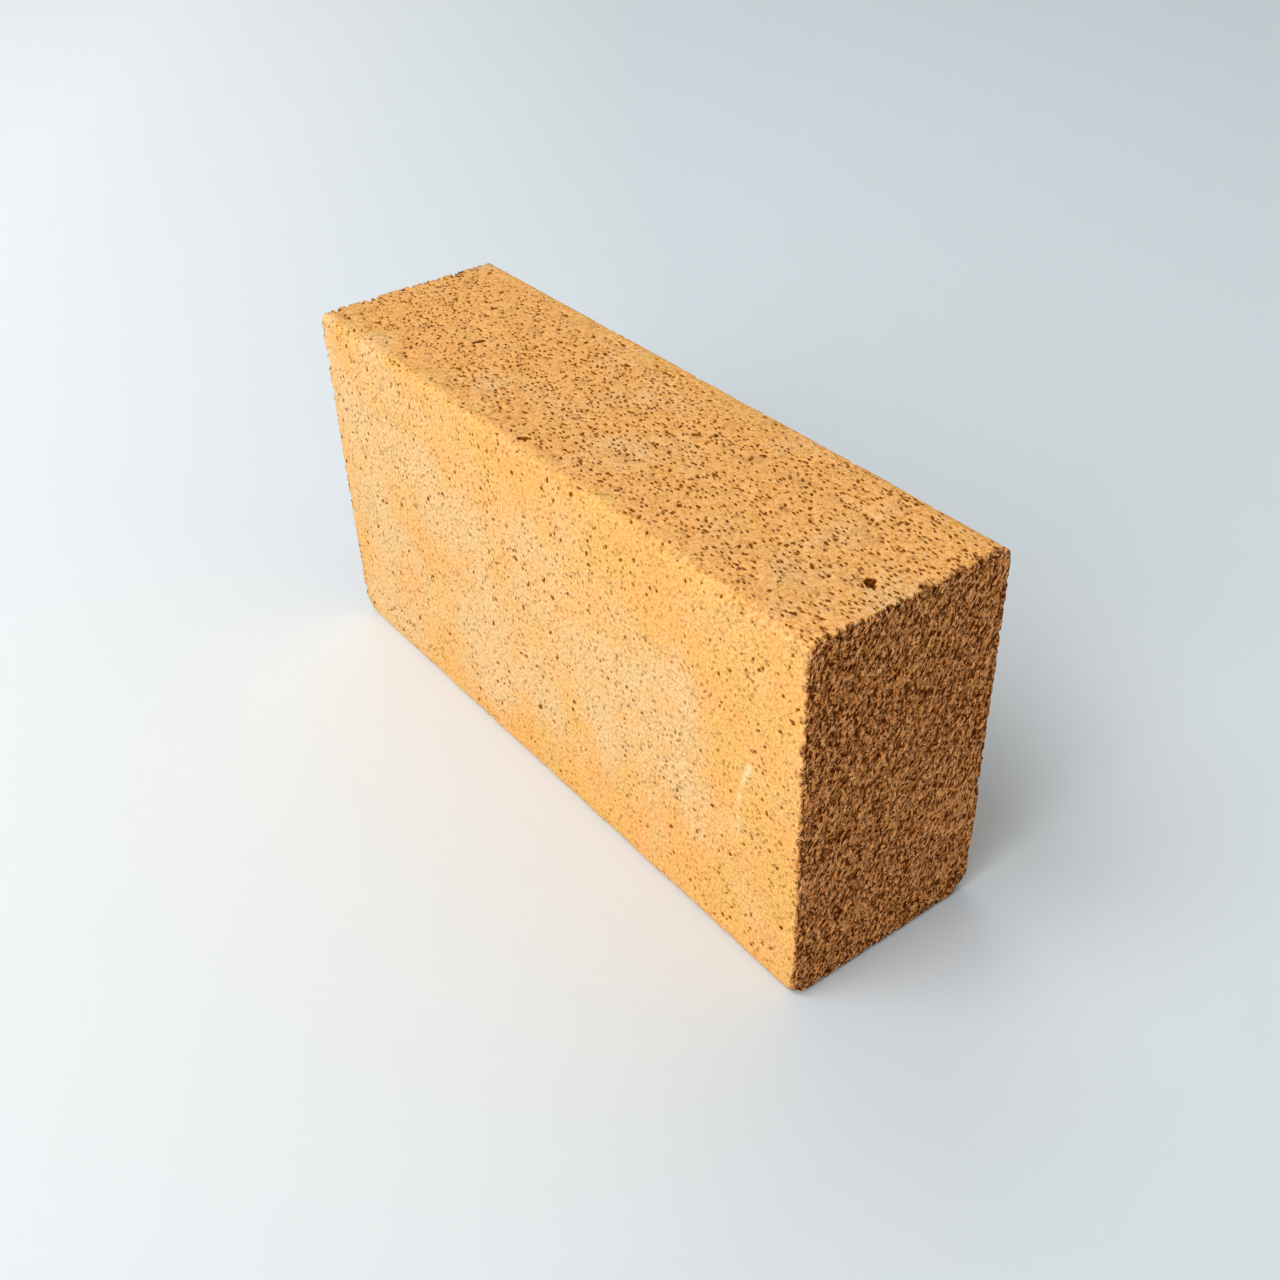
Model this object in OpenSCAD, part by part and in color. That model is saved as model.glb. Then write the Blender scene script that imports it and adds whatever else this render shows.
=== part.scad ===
// Insulating fire brick, standard square of 230 x 114 x 65 mm.
// A stiff clay and sawdust mix is pushed through a die as one long column,
// the column is cut by a wire into bricks, and firing burns the sawdust out.
// So the brick is one fired piece: four die-smooth long faces with round
// edges, and two wire-cut ends with short torn edges and slanting furrows,
// where the wire dragged sawdust out of the cut.
// It stands on a long narrow face. X runs along the column, Y across the
// broad faces, Z up. The origin is the middle of the face that it stands on.

/* [Brick] */
// Length, from one wire-cut end to the other
brick_l = 230; // [150:1:345]
// Thickness, from one broad face to the other
brick_t = 65; // [50:1:100]
// Width, which is the height of the brick as it stands
brick_w = 114; // [90:1:172]

/* [Edges] */
// Radius that the die's corners give the four long edges
die_r = 3; // [1:0.5:6]
// Radius that the wire leaves on the edges round each end
cut_r = 1.2; // [0.6:0.2:3]

/* [Wire-cut ends] */
// How many deep furrows the wire tears into each end
furrows = 64; // [0:8:64]
// Slant of the furrows, up from the brick's thickness
furrow_turn = 66; // [0:5:90]
// Length of a furrow, give or take a quarter
furrow_l = 5.5; // [3:0.5:6.5]
// Depth of a furrow at its middle
furrow_depth = 0.75; // [0.4:0.05:0.9]
// Radius across a furrow's hollow
furrow_r = 0.8; // [0.6:0.1:1.2]
// Distance of the furrows' middles from the end's edges
furrow_rim = 5; // [5:0.5:10]

/* [Knocked corners] */
// Legs of the far bottom corner's facet, along X, Y and Z
far_knock = [8, 7, 7.5]; // [5:0.5:15]
// Legs of the near bottom corner's facet at the front
front_knock = [5, 4.5, 5]; // [4:0.5:15]
// Legs of the near bottom corner's facet at the back
back_knock = [6.5, 7, 6.5]; // [5:0.5:15]
// Legs of the worn facet along the near end's top edge, at the back
worn_edge = [2.2, 24, 2.2]; // [1:0.1:30]

/* [Burnt-out lumps] */
// Radius of the pocket that the largest lump left, near one end
near_lump_r = 2.4; // [1:0.1:5]
// Radius of the pocket beside the front edge
side_lump_r = 1.7; // [1:0.1:3]
// Depth of every pocket, as a share of its radius
pocket_depth = 0.8; // [0.3:0.1:1]
// Length of the straight part of a pocket that a splinter left
splinter_l = 4; // [1:0.5:8]
// Radius of the splinter's pocket
splinter_r = 1; // [0.6:0.1:3]
// Angle between the splinter and the brick's length
splinter_turn = 80; // [0:5:90]

/* [Hidden] */
$fn = 64;
clay = "SandyBrown";
half_l = brick_l / 2;
half_t = brick_t / 2;

// Places on the top face, as shares of the half length and half thickness,
// so that the pockets stay on the face when the brick changes size.
near_lump = [0.905, -0.13];
side_lump = [-0.037, -0.85];
splinter = [-0.554, -0.15];

// A rectangle with round corners, centred in x and standing on y = 0.
module round_rect(w, h, r) {
    translate([-w / 2 + r, 0]) square([w - 2 * r, h]);
    translate([-w / 2, r]) square([w, h - 2 * r]);
    for (x = [-w / 2 + r, w / 2 - r], y = [r, h - r])
        translate([x, y]) circle(r);
}

// The clay column as it leaves the die, already at the brick's length.
module die_column() {
    rotate([90, 0, 90])
        translate([0, 0, -half_l])
            linear_extrude(brick_l) round_rect(brick_t, brick_w, die_r);
}

// What the wire and handling leave of the end edges, seen from above:
// the upright edges get their radius.
module upright_end_edges() {
    translate([0, -half_t, 0])
        linear_extrude(brick_w) round_rect(brick_l, brick_t, cut_r);
}

// The same seen from the front: the level end edges get their radius.
module level_end_edges() {
    rotate([90, 0, 0])
        translate([0, 0, -half_t])
            linear_extrude(brick_t) round_rect(brick_l, brick_w, cut_r);
}

// The tool for a knocked corner: everything beyond the plane that meets the
// corner's three edges at the legs' ends. side holds the corner's direction
// in X, Y and Z.
module knock(side, legs) {
    slope = [side[0] / legs[0], side[1] / legs[1], side[2] / legs[2]];
    n = slope / norm(slope);
    reach = norm(legs);
    corner_z = side[2] > 0 ? brick_w : 0;
    translate([side[0] * (half_l - legs[0]), side[1] * half_t, corner_z])
        rotate([0, acos(n[2]), atan2(n[1], n[0])])
            translate([-reach, -reach, 0]) cube([2 * reach, 2 * reach, reach]);
}

module knocked_corners() {
    knock([-1, -1, -1], far_knock);
    knock([1, -1, -1], front_knock);
    knock([1, 1, -1], back_knock);
    knock([1, 1, 1], worn_edge);
}

// A share from 0 to 1 for every whole number i. Steps that are no simple
// fraction spread the shares evenly, without making rows.
function share(i, step) = (0.5 + i * step) % 1;

// The tool for a furrow, upright in the end at the brick's near end: the rim
// of a round-edged wheel, sunk in to the furrow's depth at its middle.
module furrow_tool(l) {
    wheel_r = (l * l / 4 + furrow_depth * furrow_depth) / (2 * furrow_depth);
    translate([half_l + wheel_r - furrow_depth, 0, 0])
        rotate([90, 0, 0])
            rotate_extrude()
                translate([wheel_r - furrow_r, 0]) circle(furrow_r);
}

// Every furrow of the near end. Each has its own place, slant and length.
module end_furrows() {
    for (i = [1:1:furrows]) {
        y = (share(i, 0.7548777) - 0.5) * (brick_t - 2 * furrow_rim);
        z = furrow_rim + share(i, 0.5698403) * (brick_w - 2 * furrow_rim);
        turn = furrow_turn + 28 * (share(i, 0.38) - 0.5);
        translate([0, y, z])
            rotate([turn - 90, 0, 0])
                furrow_tool(furrow_l * (0.75 + 0.5 * share(i, 0.618)));
    }
}

// A round pocket in the top face, where a lump of sawdust burnt out.
module lump(place, r) {
    translate([place[0] * half_l, place[1] * half_t, brick_w + r * (1 - pocket_depth)])
        sphere(r);
}

// A long pocket in the top face, left by a splinter that lay across it.
module splinter_pocket(place, r, l) {
    translate([place[0] * half_l, place[1] * half_t, brick_w + r * (1 - pocket_depth)])
        rotate([0, 90, splinter_turn]) {
            translate([0, 0, -l / 2]) cylinder(h = l, r = r);
            for (end = [-l / 2, l / 2])
                translate([0, 0, end]) sphere(r);
        }
}

module burnt_pockets() {
    lump(near_lump, near_lump_r);
    lump(side_lump, side_lump_r);
    splinter_pocket(splinter, splinter_r, splinter_l);
}

module brick() {
    color(clay)
        difference() {
            intersection() {
                die_column();
                upright_end_edges();
                level_end_edges();
            }
            end_furrows();
            mirror([1, 0, 0]) end_furrows();
            knocked_corners();
            burnt_pockets();
        }
}

brick();
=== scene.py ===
import itertools
import math

import bpy
import numpy as np
from mathutils import Matrix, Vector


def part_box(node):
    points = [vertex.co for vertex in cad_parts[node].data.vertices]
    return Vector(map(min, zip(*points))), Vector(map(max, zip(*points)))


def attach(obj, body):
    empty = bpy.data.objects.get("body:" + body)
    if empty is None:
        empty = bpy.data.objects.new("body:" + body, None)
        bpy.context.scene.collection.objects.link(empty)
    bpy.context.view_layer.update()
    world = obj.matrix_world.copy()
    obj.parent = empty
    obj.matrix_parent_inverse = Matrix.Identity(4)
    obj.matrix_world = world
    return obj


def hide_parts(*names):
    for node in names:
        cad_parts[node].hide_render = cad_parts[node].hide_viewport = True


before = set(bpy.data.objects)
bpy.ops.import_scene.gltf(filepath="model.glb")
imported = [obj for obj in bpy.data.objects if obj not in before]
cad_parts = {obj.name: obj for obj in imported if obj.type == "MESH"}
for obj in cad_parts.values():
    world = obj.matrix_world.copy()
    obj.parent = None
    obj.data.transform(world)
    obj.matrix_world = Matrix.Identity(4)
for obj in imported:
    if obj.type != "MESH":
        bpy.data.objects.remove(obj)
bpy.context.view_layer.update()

# ---------------------------------------------------------------- The clay column
# The brick starts as a length of stiff clay and sawdust, pushed through a steel die as one
# long column and cut off by a wire. The die gives four smooth long faces with round edges,
# and the wire two square ends with short ones. Sizes are in mm from the brick's middle.
MM = 0.001
low, high = (np.array(corner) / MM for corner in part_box("brick"))
middle = (high + low) / 2
half = (high - low) / 2
DIE_R = 3.0
CUT_R = 1.2
PITCH = 0.4


def skin_lattice(cells):
    """Whole-number points on the six sides of a block of cells, with each side a grid.
    A side holds the counts of two axes on a grid and the third axis at its low or high value;
    a point on two or three sides gets one number, so the skin closes. Low sides are turned
    over, so that rows, then columns, then outwards is a right-handed set on every side."""
    sides = []
    for axis, end in itertools.product(range(3), (0, 1)):
        across, up = (axis + 1) % 3, (axis + 2) % 3
        grid = np.empty((cells[across] + 1, cells[up] + 1, 3), int)
        grid[..., axis] = end * cells[axis]
        grid[..., across] = np.arange(cells[across] + 1)[:, None]
        grid[..., up] = np.arange(cells[up] + 1)[None, :]
        sides.append(grid if end else grid[::-1])
    every = np.concatenate([grid.reshape(-1, 3) for grid in sides])
    points, number = np.unique(every, axis=0, return_inverse=True)
    splits = np.cumsum([grid.shape[0] * grid.shape[1] for grid in sides])[:-1]
    numbers = [part.reshape(grid.shape[:2]) for part, grid in zip(np.split(number, splits), sides)]
    return points, numbers


def rounded_column(square):
    """Draws a square-edged skin in to the brick's round edges, and gives its outward normals.
    Long edges: where a point is within DIE_R of two long faces, its offset from the round's
    axis keeps its direction and takes the larger part's length, which turns squares to arcs.
    End edges: the same is done with the distance past the end's round and the distance past
    the outline's round, which are brought to a length of CUT_R."""
    straight = half[1:] - DIE_R
    beyond = np.maximum(np.abs(square[:, 1:]) - straight, 0)
    length = np.maximum(np.hypot(*beyond.T), 1e-9)
    arc = beyond * (beyond.max(axis=1) / length)[:, None]
    way = np.sign(square[:, 1:])
    outline = way * (np.minimum(np.abs(square[:, 1:]), straight) + arc)
    outward = way * beyond / length[:, None]

    past_outline = np.maximum((np.abs(square[:, 1:]) - half[1:]).max(axis=1) + CUT_R, 0)
    past_end = np.maximum(np.abs(square[:, 0]) - half[0] + CUT_R, 0)
    reach = np.maximum(np.hypot(past_outline, past_end), 1e-9)
    shrink = np.where(np.minimum(past_outline, past_end) > 0, CUT_R / reach, 1)
    which_end = np.sign(square[:, 0])
    placed = np.empty_like(square)
    placed[:, 0] = np.minimum(np.abs(square[:, 0]), half[0] - CUT_R) + past_end * shrink
    placed[:, 0] *= which_end
    placed[:, 1:] = outline - outward * (past_outline * (1 - shrink))[:, None]
    normal = np.column_stack([which_end * past_end, outward * past_outline[:, None]])
    return placed, normal / np.linalg.norm(normal, axis=1)[:, None]


cells = np.round(2 * half / PITCH).astype(int)
lattice, side_numbers = skin_lattice(cells)
square_skin = lattice / cells * 2 * half - half
skin, outward = rounded_column(square_skin)

# ---------------------------------------------------------------- Waves of the die faces
# Stiff clay drags and relaxes as it leaves the die, so the long faces are never quite flat:
# they dip by a tenth of a millimetre or so over a few centimetres. Their long arrises are
# rubbed back unevenly, before firing while the clay is soft and after it in handling.
WAVE_DEEP = 0.08
WAVE_LONG = 38
RIPPLE_DEEP = 0.015
RIPPLE_LONG = 5
ARRIS_WEAR = 0.3
ARRIS_REACH = 9.0
NICK_DEEP = 0.7
NICK_SIZE = 2.0
NICK_REACH = 2.6


def clay_noise(points, size, seed):
    """A smooth random field from -1 to 1: random numbers at the corners of cubes of the given
    size, blended between the corners by 3t^2 - 2t^3 along each axis."""
    table = np.random.default_rng(seed).uniform(-1, 1, (32, 32, 32))
    cell = points / size
    corner = np.floor(cell).astype(int)
    t = cell - corner
    t = t * t * (3 - 2 * t)
    field = np.zeros(len(points))
    for step in itertools.product((0, 1), repeat=3):
        weight = np.prod(np.where(step, t, 1 - t), axis=1)
        i, j, k = ((corner + step) % 32).T
        field += weight * table[i, j, k]
    return field


def above(field, start, end):
    """0 below start, 1 above end, and 3t^2 - 2t^3 between them."""
    t = np.clip((field - start) / (end - start), 0, 1)
    return t * t * (3 - 2 * t)


to_edge = half - np.abs(square_skin)
from_arris = to_edge[:, 1:].max(axis=1)
rubbed = above(clay_noise(skin, 13, seed=13) + 0.4 * clay_noise(skin, 4, seed=14), -0.3, 0.8)
sunk = WAVE_DEEP * (1 + clay_noise(skin, WAVE_LONG, seed=11))
sunk += RIPPLE_DEEP * (1 + clay_noise(skin, RIPPLE_LONG, seed=12))
sunk += above(-from_arris, -ARRIS_REACH, -1) ** 2 * ARRIS_WEAR * (0.2 + 0.8 * rubbed)

# The back arrises were nicked in handling as well: small shallow chips, close to the edge.
chipped = above(clay_noise(skin, NICK_SIZE, seed=15) + 0.4 * clay_noise(skin, 9, seed=16), 0.35, 0.7)
nick = NICK_DEEP * chipped * above(-from_arris, -NICK_REACH, -0.6) * (skin[:, 1] > 0)
sunk += nick

# ---------------------------------------------------------------- The die's fine skin
# The die smears a thin skin of fine clay over the broad faces and leaves the narrow ones
# open. The skin thins out raggedly past the long arrises, further in at the far end. Where it
# lies, it is painted paler towards the faces' middles and the -X end: painted light, with
# random pale blotches that are the clay's own tone.
SKIN_REACH = 10
SKIN_LEAN = 0.04
SKIN_RAGGED = ((5, 20, 40), (3, 7, 41), (1.5, 2.5, 42))
PAINTED_LIGHT_LEAN = 0.2


def skin_cover(points, gap):
    """How much skin covers a place, from 0 to 1. The gaps are those to the broad faces and to
    the narrow ones: their difference is the distance past the arris, and noise of three
    sizes shifts the stretch over which the skin thins from covered to bare."""
    past = gap[:, 1] - gap[:, 0] - SKIN_LEAN * points[:, 0]
    ragged = sum(far * clay_noise(points, size, seed) for far, size, seed in SKIN_RAGGED)
    return above(past + ragged, -SKIN_REACH, 1)


cover = skin_cover(skin, to_edge[:, 1:])
open_middle = np.minimum(to_edge[:, 0], to_edge[:, 2])
blotch = 9 * clay_noise(skin, 24, seed=43)
# Painted light, partly: paler away from the broad faces' edges and towards the -X end, with random
# blotches of the clay's own tone.
pale_tone_and_light = cover * above(open_middle + blotch - PAINTED_LIGHT_LEAN * skin[:, 0], 2, 32)

# ---------------------------------------------------------------- Burnt-out pores
# Firing burns the sawdust out and leaves pores. Those that the skin cuts show as small round
# holes with steep walls, painted dark inside as shade. The narrow faces have more, longer and
# deeper ones.
PORES_BARE = 0.055
PORES_COVERED = 0.026
PORES_DRAWN = 1.7
PORE_WIDE = 0.68
NARROW_FACE_PORES = ((1.8, 2.8), math.radians(-15))
BROAD_FACE_PORES = ((1.2, 1.9), math.radians(-45))


def press_pits(counts, place, length, width, turn, depth):
    """The depth of a crowd of pits over one side's grid, the deepest where they overlap.
    A pit is an ellipse turned by an angle: full depth within half its size, and sloping
    up to nothing at 1.15 of it. Each is worked out only on the grid points around it."""
    reach = int(np.ceil(0.6 * length.max() / PITCH)) + 1
    near = np.round(place / PITCH).astype(int)
    step = np.arange(-reach, reach + 1)
    i = near[:, 0, None, None] + step[None, :, None]
    j = near[:, 1, None, None] + step[None, None, :]
    u = i * PITCH - place[:, 0, None, None]
    v = j * PITCH - place[:, 1, None, None]
    cos, sin = (part(turn)[:, None, None] for part in (np.cos, np.sin))
    along = (u * cos + v * sin) / (length / 2)[:, None, None]
    across = (v * cos - u * sin) / (width / 2)[:, None, None]
    pit = depth[:, None, None] * above(-np.hypot(along, across), -1.15, -0.5)
    i, j = np.broadcast_arrays(i, j)
    inside = (i >= 0) & (i < counts[0]) & (j >= 0) & (j < counts[1]) & (pit > 0)
    sheet = np.zeros(counts)
    np.maximum.at(sheet, (i[inside], j[inside]), pit[inside])
    return sheet


pore = 0.35 * nick
rng = np.random.default_rng(5)
for face, numbers in enumerate(side_numbers[2:]):
    stretch, lean = NARROW_FACE_PORES if face >= 2 else BROAD_FACE_PORES
    counts = np.array(numbers.shape)
    size = (counts - 1) * PITCH
    many = int(size[0] * size[1] * PORES_BARE * PORES_DRAWN)
    place = rng.uniform(0, 1, (many, 2)) * size
    at = numbers[tuple(np.round(place / PITCH).astype(int).T)]
    crowd = 0.62 + 0.3 * clay_noise(skin[at], 15, seed=51) + 0.2 * clay_noise(skin[at], 4, seed=52)
    share = 1 - cover[at] * (1 - PORES_COVERED / PORES_BARE)
    kept = rng.uniform(0, 1, many) < crowd * share
    place, bare = place[kept], 1 - cover[at][kept]
    many = len(place)
    width = np.clip(rng.lognormal(np.log(PORE_WIDE), 0.17, many), 0.5, 1.2) * (1.25 - 0.25 * bare)
    length = width * rng.uniform(*stretch, many)
    depth = width * rng.uniform(0.4, 0.85, many) * (0.75 + 0.25 * bare)
    turn = rng.normal(lean, 0.35, many)
    sheet = press_pits(counts, place, length, width, turn, depth)
    np.maximum.at(pore, numbers.ravel(), sheet.ravel())

# ---------------------------------------------------------------- Three burnt pockets
# Larger lumps of sawdust and a splinter of wood under the top face burnt out too, and left
# deep pockets, painted dark inside as shade. The lump nearest the end had a curl of bark
# beside it. Each pocket has its place as shares of the half sizes, its two radii in mm and
# its turn.
POCKETS = {
    "near_lump": (0.905, -0.13, 2.0, 1.45, -40),
    "side_lump": (-0.037, -0.85, 1.7, 1.5, 30),
    "splinter": (-0.554, -0.15, 2.7, 0.9, 80),
}
POCKET_DEPTH = 1.1
CURL_R = 1.9
CURL_BACK = 0.4
CURL_DEPTH = 0.2
burnt = np.zeros(len(skin))
on_top = np.flatnonzero(square_skin[:, 2] == half[2])
for to_x, to_y, long_r, short_r, degrees in POCKETS.values():
    turn = math.radians(degrees)
    gap_x = skin[on_top, 0] - to_x * half[0]
    gap_y = skin[on_top, 1] - to_y * half[1]
    along = (gap_x * math.cos(turn) + gap_y * math.sin(turn)) / long_r
    across = (gap_y * math.cos(turn) - gap_x * math.sin(turn)) / short_r
    gap = np.hypot(along, across) + 0.5 * clay_noise(skin[on_top], 1.3, seed=61)
    hole = above(-gap, -1.15, -0.55)
    burnt[on_top] = np.maximum(burnt[on_top], hole)
    floor_of_it = 0.75 + 0.25 * clay_noise(skin[on_top], 0.9, seed=62)
    pore[on_top] = np.maximum(pore[on_top], POCKET_DEPTH * hole * floor_of_it)
lump_x, lump_y = (share * size for share, size in zip(POCKETS["near_lump"][:2], half))
from_curl = np.hypot(skin[on_top, 0] - lump_x + CURL_R, skin[on_top, 1] - lump_y - CURL_BACK)
curl = above(-np.abs(from_curl - CURL_R), -0.6, -0.1)
curl *= above(clay_noise(skin[on_top], 1.5, seed=63), -0.9, 0)
pore[on_top] = np.maximum(pore[on_top], CURL_DEPTH * curl)
sunk += pore

# ---------------------------------------------------------------- The two wire-cut ends
# The wire tears the clay rather than slicing it: it drags sawdust out of the cut, and leaves
# slanting ridges with slits and a few deep furrows. The ends have no skin; their colour is
# painted darker and redder than the skin's, as shade. The near end has one smooth patch, a ledge.
FURROWS = 64
FURROW_TURN = math.radians(66)
FURROW_LONG = 5.5
FURROW_DEEP = 0.75
FURROW_R = 0.8
FURROW_RIM = 5.0
RIDGE_DEEP = 0.75
UNEVEN_DEEP = 0.12
SLITS = 0.15
SLIT_LONG = 1.6
SLIT_WIDE = 0.8
LEDGE_Y = 25.5
LEDGE_Z = -20.0
LEDGE_WIDE = 9.0
LEDGE_TALL = 12.0


def wire_marks(points):
    """How deep the wire's marks are at a place of the end's plane: 0 on the ridges and 1 in
    the hollows. It is the size of a smooth noise that is drawn out along the furrows, so the
    ridges are the wandering lines where that noise passes through 0."""
    which_end = np.sign(points[:, 0])
    across, up = points[:, 1], points[:, 2]
    flat = np.column_stack([np.zeros(len(points)), across, up]) + 300 * which_end[:, None]
    across = across + 0.9 * clay_noise(flat, 3.2, seed=71)
    up = up + 0.9 * clay_noise(flat, 3.2, seed=72)
    along = across * math.cos(FURROW_TURN) + up * math.sin(FURROW_TURN)
    beside = up * math.cos(FURROW_TURN) - across * math.sin(FURROW_TURN)
    drawn_out = np.column_stack([along / 2.6, beside, 50 * which_end])
    return np.minimum(1, 1.8 * np.abs(clay_noise(drawn_out, 0.9, seed=73)))


def wheel_cut(along, beside, long):
    """How deep a furrow is at a place: the cut that a round-edged wheel makes when it is
    sunk in to the furrow's depth. The wheel's radius follows from the length of its cut."""
    wheel_r = (long ** 2 / 4 + FURROW_DEEP ** 2) / (2 * FURROW_DEEP)
    rim = wheel_r - FURROW_R + np.sqrt(np.maximum(FURROW_R ** 2 - beside ** 2, 0))
    cut = np.sqrt(np.maximum(rim ** 2 - along ** 2, 0)) - (wheel_r - FURROW_DEEP)
    return np.where(np.abs(beside) < FURROW_R, np.maximum(cut, 0), 0)


ragged = 0.7 * clay_noise(skin, 1.3, seed=77)
on_end = above(ragged - to_edge[:, 0], -CUT_R, -0.2 * CUT_R)
ends = np.flatnonzero(on_end > 0)
y, z = skin[ends, 1], skin[ends, 2]
near_end = skin[ends, 0] > 0
hollow = np.zeros(len(skin))
hollow[ends] = wire_marks(skin[ends])
furrow = np.zeros(len(skin))
number = np.arange(1, FURROWS + 1)
share_y, share_z, share_turn, share_long = (
    (0.5 + number * step) % 1 for step in (0.7548777, 0.5698403, 0.38, 0.618)
)
furrow_y = (share_y - 0.5) * 2 * (half[1] - FURROW_RIM)
furrow_z = (share_z - 0.5) * 2 * (half[2] - FURROW_RIM)
furrow_turn = FURROW_TURN + math.radians(28) * (share_turn - 0.5)
furrow_long = FURROW_LONG * (0.75 + 0.5 * share_long)
for at_y, at_z, turn, long in zip(furrow_y, furrow_z, furrow_turn, furrow_long):
    along = (y - at_y) * math.cos(turn) + (z - at_z) * math.sin(turn)
    beside = (z - at_z) * math.cos(turn) - (y - at_y) * math.sin(turn)
    furrow[ends] = np.maximum(furrow[ends], wheel_cut(along, beside, long))

for end, numbers in enumerate(side_numbers[:2]):
    counts = np.array(numbers.shape)
    size = (counts - 1) * PITCH
    many = int(size[0] * size[1] * SLITS)
    place = rng.uniform(0, 1, (many, 2)) * size
    length = np.clip(rng.lognormal(np.log(SLIT_LONG), 0.3, many), 0.9, 3.5)
    width = np.clip(rng.lognormal(np.log(SLIT_WIDE), 0.2, many), 0.6, 1.2)
    turn = rng.normal(FURROW_TURN, 0.4, many)
    if end == 0:
        turn = np.pi - turn
    depth = width * rng.uniform(0.5, 1.2, many)
    sheet = press_pits(counts, place, length, width, turn, depth)
    np.maximum.at(furrow, numbers.ravel(), sheet.ravel())
ledge_gap = np.maximum(np.abs(y - LEDGE_Y) / LEDGE_WIDE, np.abs(z - LEDGE_Z) / LEDGE_TALL)
ledge = above(-ledge_gap - 0.15 * clay_noise(skin[ends], 3, seed=74), -1.05, -0.95) * near_end
rough = 1 - 0.7 * ledge
uneven = UNEVEN_DEEP * (1 + clay_noise(skin[ends], 9, seed=75))
end_sunk = uneven * rough + RIDGE_DEEP * hollow[ends] * rough
sunk[ends] += on_end[ends] * end_sunk
furrow[ends] *= np.where(ledge > 0.5, 0.3, 1)
sunk += on_end * furrow
pore = np.maximum(pore, 0.35 * furrow * on_end)
torn = on_end.copy()

# ---------------------------------------------------------------- A pale scrape
# Something hard has scraped the front broad face near its end and left a thin pale streak.
SCRAPE_LOW = -18.0
SCRAPE_HIGH = 14.5
SCRAPE_X = 90.8
SCRAPE_LEAN = 5.9
SCRAPE_WIDE = 1.4
SCRAPE_DEEP = 0.06
rise = np.clip((skin[:, 2] - SCRAPE_LOW) / (SCRAPE_HIGH - SCRAPE_LOW), 0, 1)
aside = np.abs(skin[:, 0] - SCRAPE_X - SCRAPE_LEAN * rise ** 2.2 - 0.5 * clay_noise(skin, 4, seed=91))
within = above(skin[:, 2], SCRAPE_LOW, SCRAPE_LOW + 6)
within *= above(-skin[:, 2], -SCRAPE_HIGH, 3 - SCRAPE_HIGH)
scraped = above(-aside, -SCRAPE_WIDE, -0.2) * within * (skin[:, 1] < 0) * (to_edge[:, 1] < 0.1)
scraped *= above(clay_noise(skin, 1.8, seed=92), -0.6, 0.4)
sunk += SCRAPE_DEEP * scraped

# ---------------------------------------------------------------- Frayed, worn and knocked edges
# The arrises round each end crumble where slits reach them, and look like a broken comb.
# Three bottom corners are knocked off along rough slanting planes. A fourth such plane is
# only worn: it widens along the near end's top edge, up to the corner at the back.
FRAY_REACH = 3.8
FRAY_DEEP = 1.3
KNOCKS = {
    (-1, -1, -1): (8, 7, 7.5),
    (1, -1, -1): (5, 4.5, 5),
    (1, 1, -1): (6.5, 7, 6.5),
    (1, 1, 1): (2.2, 24, 2.2),
}
KNOCKED = (0.35, 1)
WORN = (0.1, 0.3)


def outline_run(points):
    """How far round the outline a point lies, in mm, from the +Y bottom corner: up the +Y
    side, over the top, down the -Y side and back along the bottom."""
    y, z = points[:, 1], points[:, 2]
    hy, hz = half[1:]
    on_side = np.abs(y) - hy > np.abs(z) - hz
    up = np.where(y > 0, z + hz, 3 * hz + 2 * hy - z)
    over = np.where(z > 0, 2 * hz + hy - y, 4 * hz + 3 * hy + y)
    return np.where(on_side, up, over)


from_outline = to_edge[:, 1:].min(axis=1)
band = np.flatnonzero((to_edge[:, 0] < FRAY_REACH) & (from_outline < FRAY_REACH))
run = outline_run(square_skin[band])
far_end = 300 * (square_skin[band, 0] > 0)
line = np.column_stack([run, far_end, np.zeros(len(band))])
stretch = 0.75 + 0.3 * clay_noise(line, 7, seed=83) + 0.3 * clay_noise(line, 2.4, seed=84)
tooth = wire_marks(skin[band])
upright = above(to_edge[band, 2] - to_edge[band, 1], -2, 2)
reach = FRAY_REACH * np.clip(stretch, 0.25, 1) * above(tooth, 0.35, 0.6) * (1 - 0.3 * upright)
depth_in = to_edge[band, 0] + 0.7 * from_outline[band]
fray = FRAY_DEEP * (1 - 0.35 * upright) * above(reach - depth_in, 0, 1.2)
sunk[band] += fray
hollow[band] = np.maximum(hollow[band], tooth)
pore[band] = np.maximum(pore[band], 0.22 * fray * tooth)
torn[band] = np.maximum(torn[band], above(fray, 0.05, 0.3))
placed = skin - outward * sunk[:, None]

rough_cut = 0.35 * clay_noise(placed, 2.2, seed=31) + 0.3 * clay_noise(placed, 5, seed=32)
for corner, legs in KNOCKS.items():
    slope = np.array(corner) / legs
    slope = slope / np.linalg.norm(slope)
    tip = np.array(corner) * half - np.array([corner[0] * legs[0], 0, 0])
    over = (placed - tip) @ slope
    worn = corner[2] > 0
    deeper, roughness = WORN if worn else KNOCKED
    cut = np.maximum(over + deeper + roughness * rough_cut, 0) * (over > -1.5)
    placed -= slope * cut[:, None]
    if worn:
        pore *= 1 - above(cut, 0.02, 0.3)
        # The worn facet takes part of the torn clay's painted shade.
        torn = np.where(cut > 0, 1 - 0.5 * above(cut, 0, 0.3), torn)
    else:
        torn = np.maximum(torn, above(cut, 0.15, 0.6))

placed = np.clip(placed, -half, half)

# ---------------------------------------------------------------- The brick's surface
# One closed skin over the whole brick. Its flat stretches are thinned to few triangles and
# the pores, furrows and chips keep theirs.
FACES = 197000

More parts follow.
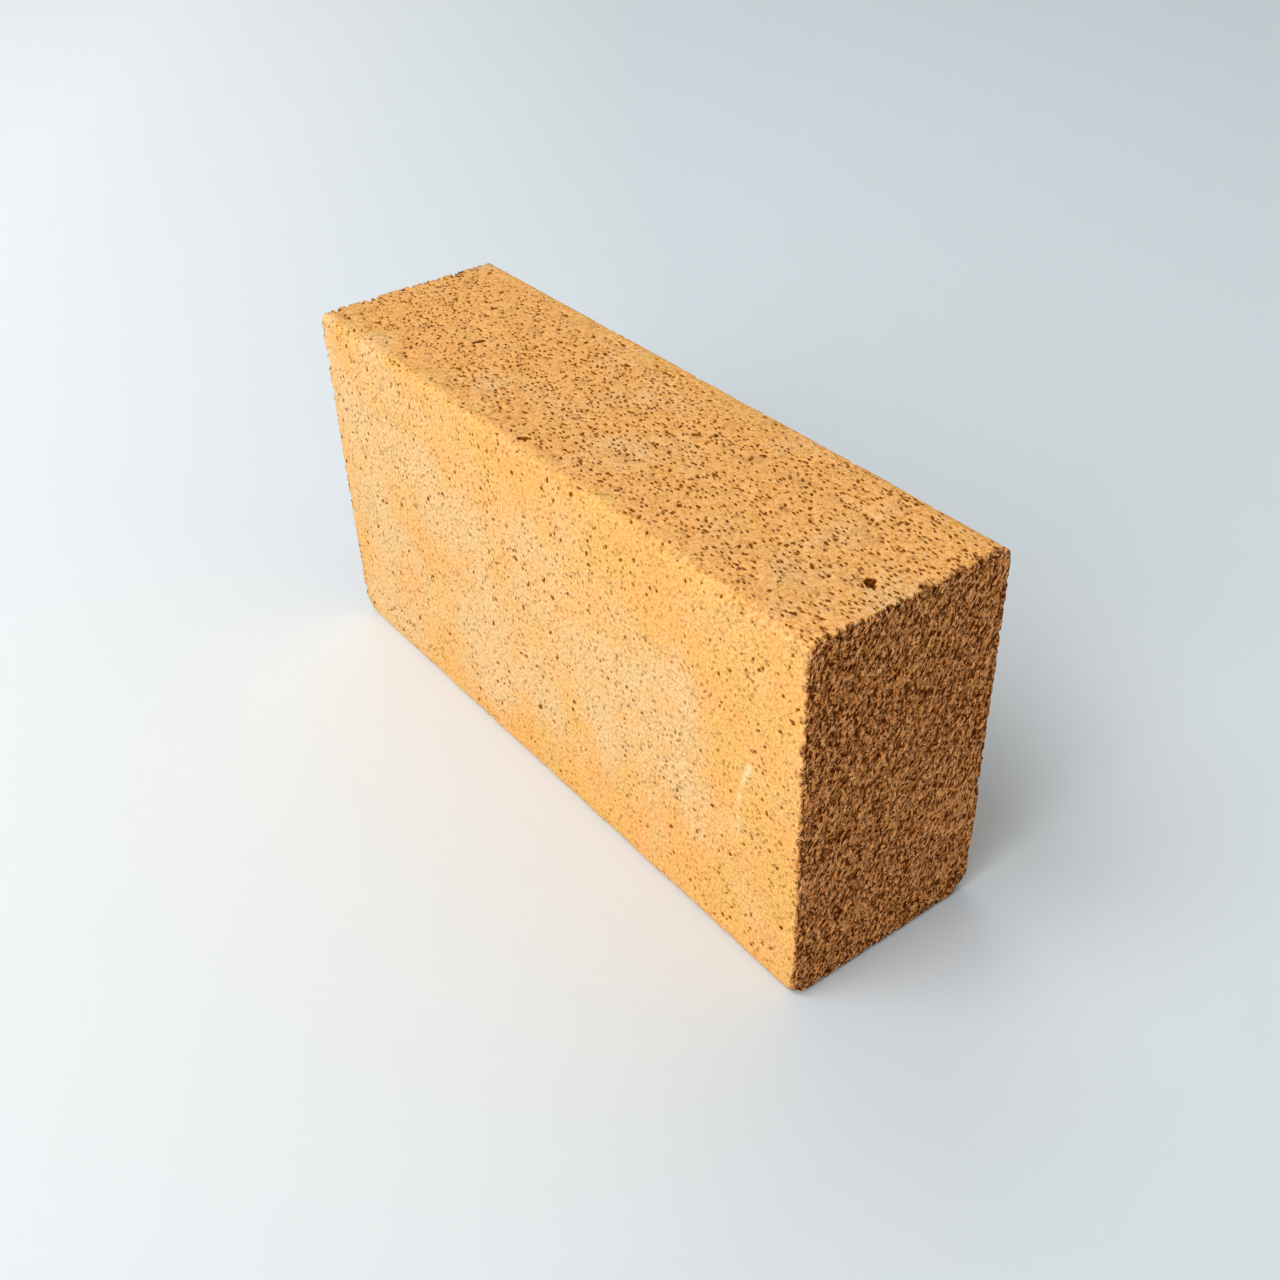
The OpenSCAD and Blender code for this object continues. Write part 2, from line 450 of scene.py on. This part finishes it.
quads = np.concatenate([
    np.stack([n[:-1, :-1], n[1:, :-1], n[1:, 1:], n[:-1, 1:]], axis=-1).reshape(-1, 4)
    for n in side_numbers
])
skin_mesh = bpy.data.meshes.new("brick_skin")
skin_mesh.vertices.add(len(placed))
skin_mesh.vertices.foreach_set("co", ((placed + middle) * MM).ravel())
skin_mesh.loops.add(quads.size)
skin_mesh.loops.foreach_set("vertex_index", quads.ravel())
skin_mesh.polygons.add(len(quads))
skin_mesh.polygons.foreach_set("loop_start", np.arange(0, quads.size, 4))
skin_mesh.update(calc_edges=True)
marks = {
    "pore": pore,
    "torn": torn,
    "hollow": hollow,
    "cover": cover * (1 - torn),
    "pale_tone_and_light": pale_tone_and_light,
    "burnt": burnt,
    "scraped": scraped,
}
for name, values in marks.items():
    skin_mesh.attributes.new(name, "FLOAT", "POINT").data.foreach_set("value", values)
brick = bpy.data.objects.new("fired_brick", skin_mesh)
bpy.context.collection.objects.link(brick)
thin = brick.modifiers.new("thin", "DECIMATE")
thin.ratio = FACES / (2 * len(quads))
thin.use_collapse_triangulate = True
thinned = bpy.data.meshes.new_from_object(brick.evaluated_get(bpy.context.evaluated_depsgraph_get()))
brick.modifiers.clear()
brick.data = thinned
brick.data.polygons.foreach_set("use_smooth", np.ones(len(thinned.polygons), bool))


def unfold(mesh):
    """Lays the skin out flat on the bake's square: a triangle belongs to the side of the
    brick that it lies nearest, and is seen straight on from there."""
    count = len(mesh.polygons)
    co = np.empty(3 * len(mesh.vertices))
    mesh.vertices.foreach_get("co", co)
    co = co.reshape(-1, 3) / MM - middle
    corner = np.empty(3 * count, int)
    mesh.loops.foreach_get("vertex_index", corner)
    tri = co[corner].reshape(count, 3, 3)
    centre = tri.mean(axis=1)
    past = np.abs(centre) - half
    axis = past.argmax(axis=1)
    side = 2 * axis + (np.take_along_axis(centre, axis[:, None], 1)[:, 0] > 0)
    length, thick, tall = 2 * half
    gap = 4.0
    across = {0: (1, 2), 1: (1, 2), 2: (0, 2), 3: (0, 2), 4: (0, 1), 5: (0, 1)}
    foot = {
        2: (0, 0), 3: (0, tall + gap), 4: (0, 2 * (tall + gap)), 5: (0, 2 * (tall + gap) + thick + gap),
        0: (length + gap, 0), 1: (length + gap, tall + gap),
    }
    whole = 2 * (tall + gap) + 2 * (thick + gap)
    uv = np.empty((count, 3, 2))
    for name, (u, v) in across.items():
        mine = side == name
        uv[mine] = tri[mine][:, :, [u, v]] + half[[u, v]] + foot[name] + gap / 2
    layer = mesh.uv_layers.new(name="OFBake")
    layer.data.foreach_set("uv", (uv / whole).ravel())


unfold(brick.data)
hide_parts("brick")
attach(brick, "root")

# ---------------------------------------------------------------- Fired clay
# Light insulating fire clay, coloured right through. The skin is tan, paler where fine clay
# lies on it, and that paleness is partly painted light. The torn clay is painted darker and
# redder than the skin as shade; pores, pockets, hollows and slits are painted dark as shade,
# and the torn ridges and crests carry a painted highlight.
SKIN = (0.97, 0.495, 0.170, 1)
SKIN_GOLD = (0.87, 0.52, 0.16, 1)
# Paler clay, painted on the broad faces partly as painted light.
SKIN_PALE_AND_LIT = (0.87, 0.60, 0.305, 1)
SKIN_SPECK = (0.70, 0.28, 0.035, 1)
# Painted shade: torn clay darker and redder than the skin; its olive variant is random tone.
SHADED_TORN = (1.0, 0.33, 0.07, 1)
SHADED_TORN_OLIVE = (0.78, 0.31, 0.055, 1)
# The next three colours paint light and shade on the torn relief: a highlight on its ridges and crests,
# shade in its hollows and between its wrinkles.
CREST_HIGHLIGHT = (1.0, 0.55, 0.26, 1)
HOLLOW_SHADE = (0.42, 0.105, 0.004, 1)
SLIT_SHADE = (0.13, 0.018, 0.0, 1)
# Painted shade deep inside the pockets.
POCKET_SHADE = (0.06, 0.008, 0.002, 1)
# Painted shade for pores, pinholes, nicks, furrows, fray teeth and the pockets.
PORE_SHADE = (0.27, 0.07, 0.0, 1)
SCRAPE = (0.96, 0.71, 0.39, 1)
clay = bpy.data.materials.new("fired_clay")
clay.use_nodes = True
tree = clay.node_tree
shader = tree.nodes["Principled BSDF"]
shader.inputs["Roughness"].default_value = 0.92
shader.inputs["Specular IOR Level"].default_value = 0.05
where = tree.nodes.new("ShaderNodeTexCoord")


def node(kind, **settings):
    made = tree.nodes.new(kind)
    for name, value in settings.items():
        setattr(made, name, value)
    return made


def feed(socket, value):
    """Links a socket to another one, or sets its own value."""
    if isinstance(value, bpy.types.NodeSocket):
        tree.links.new(value, socket)
    else:
        socket.default_value = value


def mix_colour(share, first, second):
    mixed = node("ShaderNodeMix", data_type="RGBA")
    for index, value in ((0, share), (6, first), (7, second)):
        feed(mixed.inputs[index], value)
    return mixed.outputs[2]


def reckon(operation, *values):
    result = node("ShaderNodeMath", operation=operation)
    for socket, value in zip(result.inputs, values):
        feed(socket, value)
    return result.outputs[0]


def spread(value, low, high, to_low, to_high):
    """Carries a value from one range to another, smoothly and within it."""
    ranged = node("ShaderNodeMapRange", interpolation_type="SMOOTHSTEP")
    for name, number in (("From Min", low), ("From Max", high), ("To Min", to_low), ("To Max", to_high)):
        feed(ranged.inputs[name], number)
    feed(ranged.inputs["Value"], value)
    return ranged.outputs["Result"]


def speckle(size, detail=2.0, rough=0.5):
    """Soft noise over the object, with patches of the given size in millimetres."""
    noise = node("ShaderNodeTexNoise")
    noise.inputs["Scale"].default_value = 1 / (size * MM)
    noise.inputs["Detail"].default_value = detail
    noise.inputs["Roughness"].default_value = rough
    feed(noise.inputs["Vector"], where.outputs["Object"])
    return noise.outputs["Fac"]


def pinholes(spacing, radius, long, rise, turn):
    """Small holes: grains about scattered points, drawn out on the slant and cut by the
    surface. They are long times as long as wide, along a line that rises and turns by the
    given degrees. A grain's random colour sets how deep its hole is. Gives 1 in a hole."""
    cells = node("ShaderNodeTexVoronoi")
    cells.inputs["Scale"].default_value = 1 / (spacing * MM)
    slant = node("ShaderNodeMapping", vector_type="TEXTURE")
    slant.inputs["Rotation"].default_value = (0, math.radians(-rise), math.radians(turn))
    slant.inputs["Scale"].default_value = (long, 1, 1)
    feed(slant.inputs["Vector"], where.outputs["Object"])
    feed(cells.inputs["Vector"], slant.outputs["Vector"])
    hole = spread(cells.outputs["Distance"], 0.75 * radius / spacing, 1.1 * radius / spacing, 1, 0)
    strength = node("ShaderNodeSeparateColor")
    feed(strength.inputs[0], cells.outputs["Color"])
    return reckon("MULTIPLY", hole, spread(strength.outputs[0], 0.05, 0.8, 0, 1))


def wrinkles():
    """The torn clay's finest wrinkles: noise drawn out along the wire's furrows and folded
    about its middle, which gives 1 along wandering lines and 0 between them."""
    along = node("ShaderNodeMapping", vector_type="TEXTURE")
    along.inputs["Rotation"].default_value = (FURROW_TURN, 0, 0)
    along.inputs["Scale"].default_value = (1, 3.2, 1)
    feed(along.inputs["Vector"], where.outputs["Object"])
    noise = node("ShaderNodeTexNoise")
    noise.inputs["Scale"].default_value = 1 / (0.8 * MM)
    noise.inputs["Detail"].default_value = 1.0
    feed(noise.inputs["Vector"], along.outputs["Vector"])
    fold = reckon("ABSOLUTE", reckon("SUBTRACT", noise.outputs["Fac"], 0.5))
    return spread(fold, 0, 0.2, 1, 0)


mark = {name: node("ShaderNodeAttribute", attribute_name=name).outputs["Fac"] for name in marks}

# Painted light in part: the broad faces paler in their middles and towards the -X end.
pale = spread(reckon("ADD", mark["pale_tone_and_light"], reckon("MULTIPLY_ADD", speckle(20), 3, -1)), 0.4, 2.0, 0, 1)
gold = reckon("MULTIPLY", spread(speckle(14, 1), 0.4, 0.62, 0, 0.8), mark["cover"])
skin_colour = mix_colour(gold, SKIN, SKIN_GOLD)
skin_colour = mix_colour(pale, skin_colour, SKIN_PALE_AND_LIT)
skin_colour = mix_colour(spread(speckle(0.9, 2, 0.7), 0.45, 0.6, 0, 0.7), skin_colour, SKIN_SPECK)
skin_colour = mix_colour(mark["scraped"], skin_colour, SCRAPE)
# Torn clay painted darker and redder than the skin as shade, in olive patches of its own tone.
shaded_torn_colour = mix_colour(spread(speckle(4, 3), 0.35, 0.65, 0, 0.3), SHADED_TORN, SHADED_TORN_OLIVE)
# Painted shade in the wire marks' hollows, and a painted highlight on the ridges between them.
shaded_torn_colour = mix_colour(spread(mark["hollow"], 0.35, 0.9, 0, 0.4), shaded_torn_colour, HOLLOW_SHADE)
shaded_torn_colour = mix_colour(spread(mark["hollow"], 0.05, 0.4, 0.3, 0), shaded_torn_colour, CREST_HIGHLIGHT)
crest = wrinkles()
# Painted shade between the fine wrinkles, and a painted highlight along their crests.
shaded_torn_colour = mix_colour(spread(crest, 0.12, 0.5, 1, 0), shaded_torn_colour, SLIT_SHADE)
shaded_torn_colour = mix_colour(spread(crest, 0.8, 1, 0, 0.5), shaded_torn_colour, CREST_HIGHLIGHT)
body = mix_colour(mark["torn"], skin_colour, shaded_torn_colour)
bare = reckon("SUBTRACT", 1.0, mark["cover"])
in_skin = pinholes(spacing=1.6, radius=0.46, long=1.3, rise=37, turn=-38)
in_bare = pinholes(spacing=1.05, radius=0.35, long=2.8, rise=20, turn=-15)
small = reckon("MAXIMUM", reckon("MULTIPLY", in_skin, mark["cover"]), reckon("MULTIPLY", in_bare, bare))
patches = spread(speckle(9), 0.42, 0.6, 0, 0.5)
# Painted shade in the pinholes, on bare clay and in patches of the skin.
pinhole_shade = reckon("MULTIPLY", small, reckon("MAXIMUM", bare, patches))
body = mix_colour(pinhole_shade, body, PORE_SHADE)
# Painted shade in the pits, nicks, furrows and fray teeth, darker by their depth.
body = mix_colour(spread(mark["pore"], 0.05, 0.3, 0, 0.95), body, PORE_SHADE)
# Painted shade inside the pockets, mottled with the pores' painted shade.
pocket_shade_mix = mix_colour(spread(speckle(1.2, 2), 0.4, 0.6, 0, 1), POCKET_SHADE, PORE_SHADE)
body = mix_colour(spread(mark["burnt"], 0.2, 0.8, 0, 1), body, pocket_shade_mix)
feed(shader.inputs["Base Color"], body)

RELIEF = 0.45
grain = speckle(0.7, 2, 0.65)
height = reckon("MULTIPLY", grain, reckon("MULTIPLY_ADD", bare, 0.25, 0.3))
height = reckon("SUBTRACT", height, reckon("MULTIPLY", small, 1.4))
height = reckon("ADD", height, reckon("MULTIPLY", mark["torn"], reckon("MULTIPLY_ADD", crest, 2.2, grain)))
bump = node("ShaderNodeBump")
bump.inputs["Strength"].default_value = 1.0
bump.inputs["Distance"].default_value = RELIEF * MM
feed(bump.inputs["Height"], height)
feed(shader.inputs["Normal"], bump.outputs["Normal"])
brick.data.materials.clear()
brick.data.materials.append(clay)

# ---------------------------------------------------------------- Floor and backdrop
# A pale matt paper floor that turns up, in a wide even bend, into a wall all round. Its
# colour is painted whiter on the left and greyer on the right: painted falloff of the light.
FLAT_R = 2.0
BEND_R = 1.0
WALL_TOP = 2.2
PAPER_LIT_WHITE = (0.96, 0.985, 0.985, 1)
PAPER_SHADED_GREY = (0.745, 0.795, 0.825, 1)
PAPER_SHADE_WAY = (0.585, 0.811, 0)
PAPER_LIT_AT = -0.38
PAPER_SHADED_AT = 0.02
rings = 96


def bowl(flat, bend, top, rings, steps=16):
    """The paper as rings of points about the middle. Its profile is a straight floor out to
    the flat radius, a quarter circle of the bend radius, and a straight wall up to the top."""
    rise = np.linspace(0, np.pi / 2, steps)
    out = np.concatenate([[0.001, flat / 2], flat + bend * np.sin(rise), [flat + bend]])
    up = np.concatenate([[0, 0], bend * (1 - np.cos(rise)), [top]])
    round_it = np.arange(rings) * 2 * np.pi / rings
    points = np.stack([
        out[:, None] * np.cos(round_it),
        out[:, None] * np.sin(round_it),
        np.repeat(up[:, None], rings, 1),
    ], axis=-1)
    ring = np.arange(len(out) - 1)[:, None] * rings
    here = np.arange(rings)
    beside = (here + 1) % rings
    faces = np.stack([ring + here, ring + rings + here, ring + rings + beside, ring + beside], axis=-1)
    return points.reshape(-1, 3), faces.reshape(-1, 4)


points, faces = bowl(FLAT_R, BEND_R, WALL_TOP, rings)
centre_cap = [tuple(range(rings))]
paper_mesh = bpy.data.meshes.new("paper_floor")
paper_mesh.from_pydata(points.tolist(), [], faces.tolist() + centre_cap)
paper_mesh.polygons.foreach_set("use_smooth", np.ones(len(paper_mesh.polygons), bool))
paper_floor = bpy.data.objects.new("paper_floor", paper_mesh)
bpy.context.collection.objects.link(paper_floor)
paper = bpy.data.materials.new("pale_paper")
paper.use_nodes = True
paper_shader = paper.node_tree.nodes["Principled BSDF"]
paper_nodes = paper.node_tree.nodes
paper_place = paper_nodes.new("ShaderNodeTexCoord")
across_paper = paper_nodes.new("ShaderNodeVectorMath")
across_paper.operation = "DOT_PRODUCT"
across_paper.inputs[1].default_value = PAPER_SHADE_WAY
paper_share = paper_nodes.new("ShaderNodeMapRange")
paper_share.inputs["From Min"].default_value = PAPER_LIT_AT
paper_share.inputs["From Max"].default_value = PAPER_SHADED_AT
# Painted light: the paper whiter on the left and greyer on the right.
paper_shade = paper_nodes.new("ShaderNodeMix")
paper_shade.data_type = "RGBA"
paper_shade.inputs[6].default_value = PAPER_LIT_WHITE
paper_shade.inputs[7].default_value = PAPER_SHADED_GREY
paper.node_tree.links.new(paper_place.outputs["Object"], across_paper.inputs[0])
paper.node_tree.links.new(across_paper.outputs["Value"], paper_share.inputs["Value"])
paper.node_tree.links.new(paper_share.outputs["Result"], paper_shade.inputs[0])
paper.node_tree.links.new(paper_shade.outputs[2], paper_shader.inputs["Base Color"])
paper_shader.inputs["Roughness"].default_value = 0.9
paper_shader.inputs["Specular IOR Level"].default_value = 0.0
paper_mesh.materials.append(paper)

# ---------------------------------------------------------------- Light
# Wide soft lamps, as windows would light a table: one low in front of the broad face, one
# above it, and a weak one behind on the left. The pale ceiling adds a little from all round.
LAMPS = {
    "front_window": (-69, 28, 1.4, 19.0),
    "upper_window": (-100, 60, 1.6, 31.2),
    "back_window": (150, 50, 1.6, 8.0),
}
LAMP_FAR = 2.4
CEILING = 0.2


def aimed(place, target):
    """A matrix at place whose -Z axis points at target, with its X axis level."""
    back = np.array(place, float) - target
    back /= np.linalg.norm(back)
    right = np.cross((0, 0, 1), back)
    right /= np.linalg.norm(right)
    up = np.cross(back, right)
    matrix = Matrix.Identity(4)
    for row in range(3):
        matrix[row] = (right[row], up[row], back[row], place[row])
    return matrix


for name, (turn, rise, wide, energy) in LAMPS.items():
    turn, rise = math.radians(turn), math.radians(rise)
    away = np.array([math.cos(turn) * math.cos(rise), math.sin(turn) * math.cos(rise), math.sin(rise)])
    lamp = bpy.data.lights.new(name, "AREA")
    lamp.shape = "DISK"
    lamp.size = wide
    lamp.energy = energy
    lamp_object = bpy.data.objects.new(name, lamp)
    bpy.context.collection.objects.link(lamp_object)
    lamp_object.matrix_world = aimed(away * LAMP_FAR, middle * MM)

world = bpy.data.worlds.new("room")
bpy.context.scene.world = world
world.use_nodes = True
world.node_tree.nodes["Background"].inputs["Color"].default_value = (0.93, 0.97, 1.0, 1)
world.node_tree.nodes["Background"].inputs["Strength"].default_value = CEILING

# ---------------------------------------------------------------- Camera
# It looks down on the brick from the near end's front, turned a little out of level.
CAMERA_TURN = math.radians(54.2)
CAMERA_RISE = math.radians(36.35)
CAMERA_ROLL = math.radians(-2.05)
CAMERA_PLACE = np.array([301.1, -211.9, 306.6])
LENS = 41.92
SENSOR = 36.0
camera = bpy.data.cameras.new("camera")
camera.lens = LENS
camera.sensor_width = SENSOR
camera.clip_start = 0.01
camera_object = bpy.data.objects.new("camera", camera)
bpy.context.collection.objects.link(camera_object)
camera_object.matrix_world = (
    Matrix.Translation(CAMERA_PLACE * MM)
    @ Matrix.Rotation(CAMERA_TURN, 4, "Z")
    @ Matrix.Rotation(math.pi / 2 - CAMERA_RISE, 4, "X")
    @ Matrix.Rotation(CAMERA_ROLL, 4, "Z")
)
bpy.context.scene.camera = camera_object
bpy.context.scene.view_settings.view_transform = "Standard"
